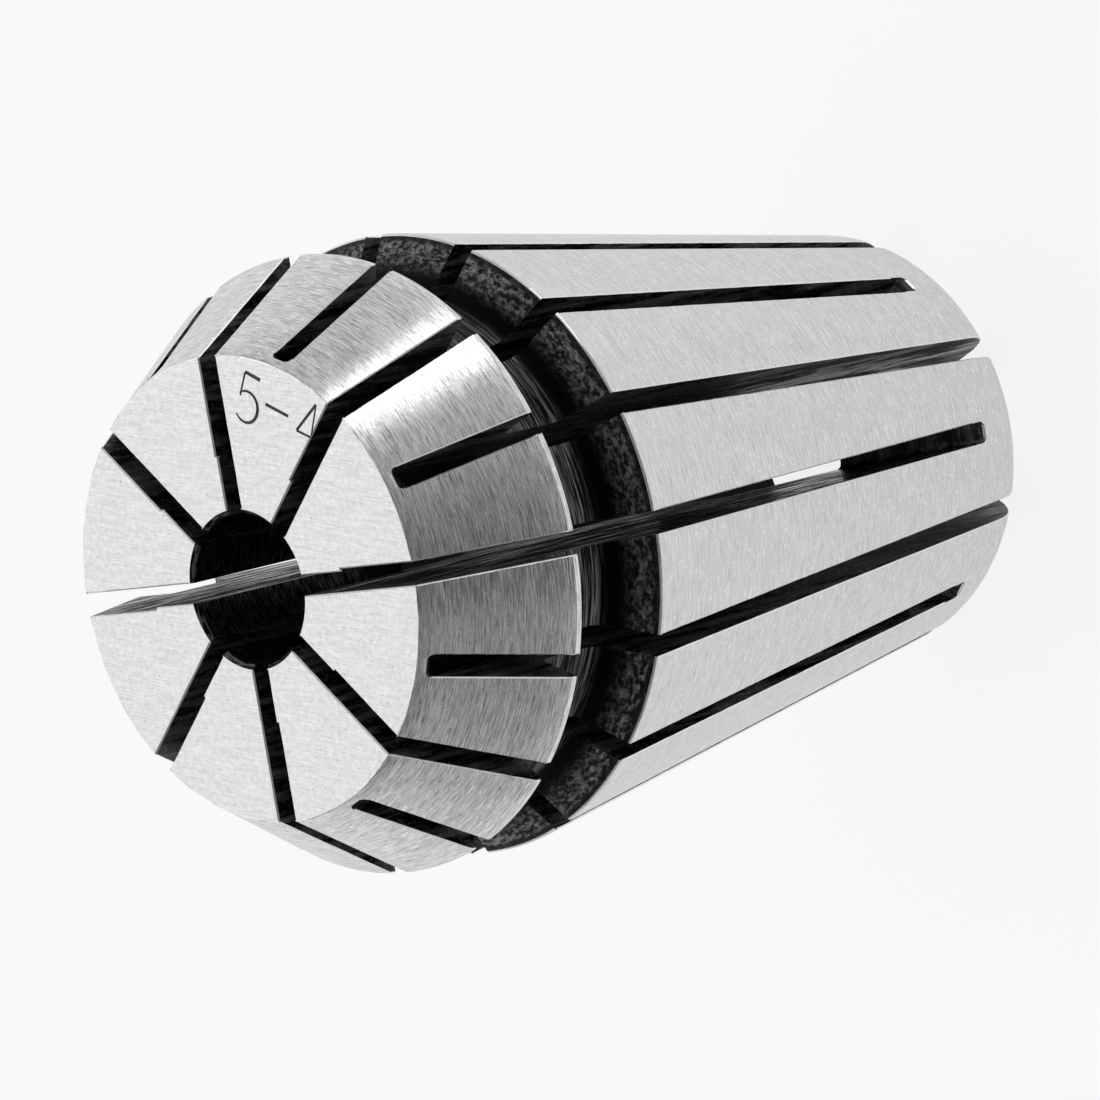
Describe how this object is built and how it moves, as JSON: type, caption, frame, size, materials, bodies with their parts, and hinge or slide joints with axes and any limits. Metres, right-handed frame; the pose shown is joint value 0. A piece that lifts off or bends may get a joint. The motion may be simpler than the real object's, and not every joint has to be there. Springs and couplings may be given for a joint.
{
  "type": "er collet",
  "caption": "Spring collet for a tool holder: a steel sleeve with a long clamping taper, an extraction groove and a nose cone, slit from both ends round a small gripping bore.",
  "frame": {"origin": "centre of the rear face, the small end, on which the collet stands", "axes": "+Z along the collet's axis towards the front face and the nose cone; +X and +Y each run along a slot sawn from the front"},
  "size_m": [0.021, 0.021, 0.0315],
  "materials": {
    "ground_steel": "ground cones and face, black oxide in the groove, slots and bore"
  },
  "bodies": {
    "root": {"collet_body": "ground_steel"}
  },
  "joints": []
}
